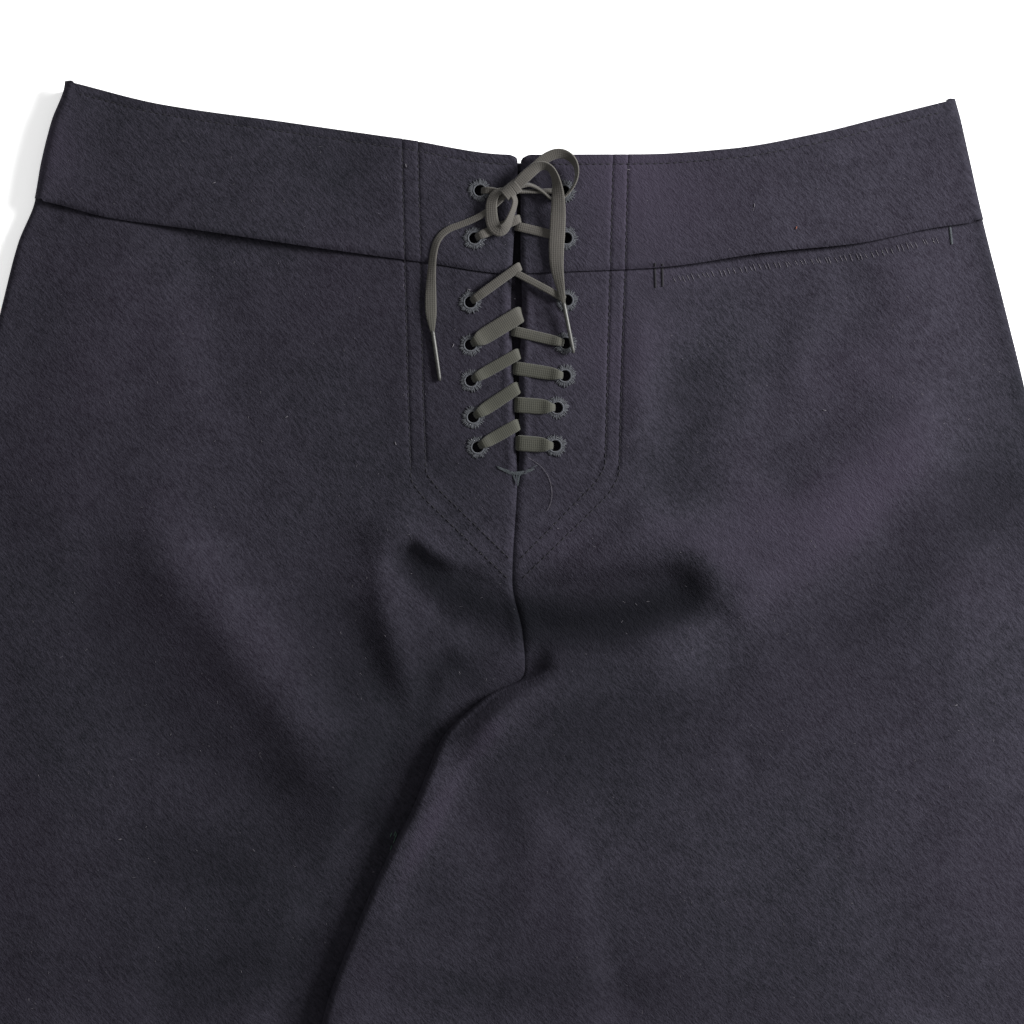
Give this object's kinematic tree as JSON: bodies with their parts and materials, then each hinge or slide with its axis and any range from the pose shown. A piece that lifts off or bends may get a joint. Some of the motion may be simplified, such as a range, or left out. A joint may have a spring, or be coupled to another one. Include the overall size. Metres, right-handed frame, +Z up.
{
  "type": "sailor trousers",
  "caption": "Dark navy wool sailor trousers lying flat, back up, with a laced and tied opening at the centre of the waist.",
  "frame": {"origin": "on the surface the trousers lie on, under the middle of their length and of their width at the hems", "axes": "+Z up, out of the laced back; +Y from the hems to the waist; +X to the right as seen from above"},
  "size_m": [0.64, 1.0704, 0.0199],
  "materials": {
    "wool": "napped matte",
    "button": "satin",
    "eyelet_thread": "matte",
    "lace": "woven matte",
    "lace_tip": "satin"
  },
  "bodies": {
    "root": {"leg_back_left": "wool", "leg_back_right": "wool", "leg_front_left": "wool", "leg_front_right": "wool", "waistband_back_left": "wool", "waistband_back_right": "wool", "waistband_front_left": "wool", "waistband_front_right": "wool", "gusset": "wool", "front_flap": "wool", "button_1": "button", "button_2": "button", "button_3": "button", "button_4": "button", "button_5": "button", "button_6": "button", "button_7": "button", "button_8": "button", "button_9": "button", "button_10": "button", "button_11": "button", "button_12": "button", "button_13": "button", "eyelet_left_1": "eyelet_thread", "eyelet_right_1": "eyelet_thread", "eyelet_left_2": "eyelet_thread", "eyelet_right_2": "eyelet_thread", "eyelet_left_3": "eyelet_thread", "eyelet_right_3": "eyelet_thread", "eyelet_left_4": "eyelet_thread", "eyelet_right_4": "eyelet_thread", "eyelet_left_5": "eyelet_thread", "eyelet_right_5": "eyelet_thread", "eyelet_left_6": "eyelet_thread", "eyelet_right_6": "eyelet_thread", "eyelet_left_7": "eyelet_thread", "eyelet_right_7": "eyelet_thread", "lacing": "lace", "lace_knot": "lace", "lace_loop_left": "lace", "lace_loop_right": "lace", "lace_end_left": "lace", "lace_end_right": "lace", "lace_tip_left": "lace_tip", "lace_tip_right": "lace_tip"}
  },
  "joints": []
}
